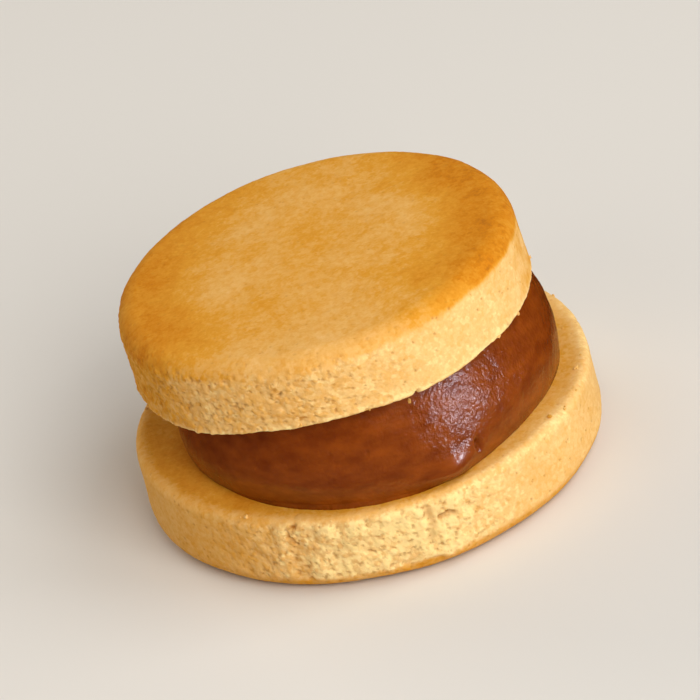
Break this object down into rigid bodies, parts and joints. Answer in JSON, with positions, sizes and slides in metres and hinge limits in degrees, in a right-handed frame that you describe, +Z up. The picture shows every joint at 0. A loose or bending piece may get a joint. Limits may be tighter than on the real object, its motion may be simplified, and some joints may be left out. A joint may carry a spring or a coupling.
{
  "type": "alfajor cookie",
  "caption": "Round sandwich biscuit with a thick, bulging layer of glossy milk caramel between crumbly golden butter biscuits; a small sweet snack.",
  "frame": {"origin": "centre of the flat face that the lower biscuit rests on", "axes": "+Z up through the stack of layers, -Y to the front, +X to the right as seen from the front"},
  "size_m": [0.0452, 0.0447, 0.0266],
  "materials": {
    "biscuit": "baked butter biscuit, dry and porous, browned towards the edges",
    "milk_caramel": "cooked milk caramel, thick and smooth, with a soft gloss"
  },
  "bodies": {
    "root": {"lower_biscuit": "biscuit", "caramel_filling": "milk_caramel", "upper_biscuit": "biscuit"}
  },
  "joints": []
}
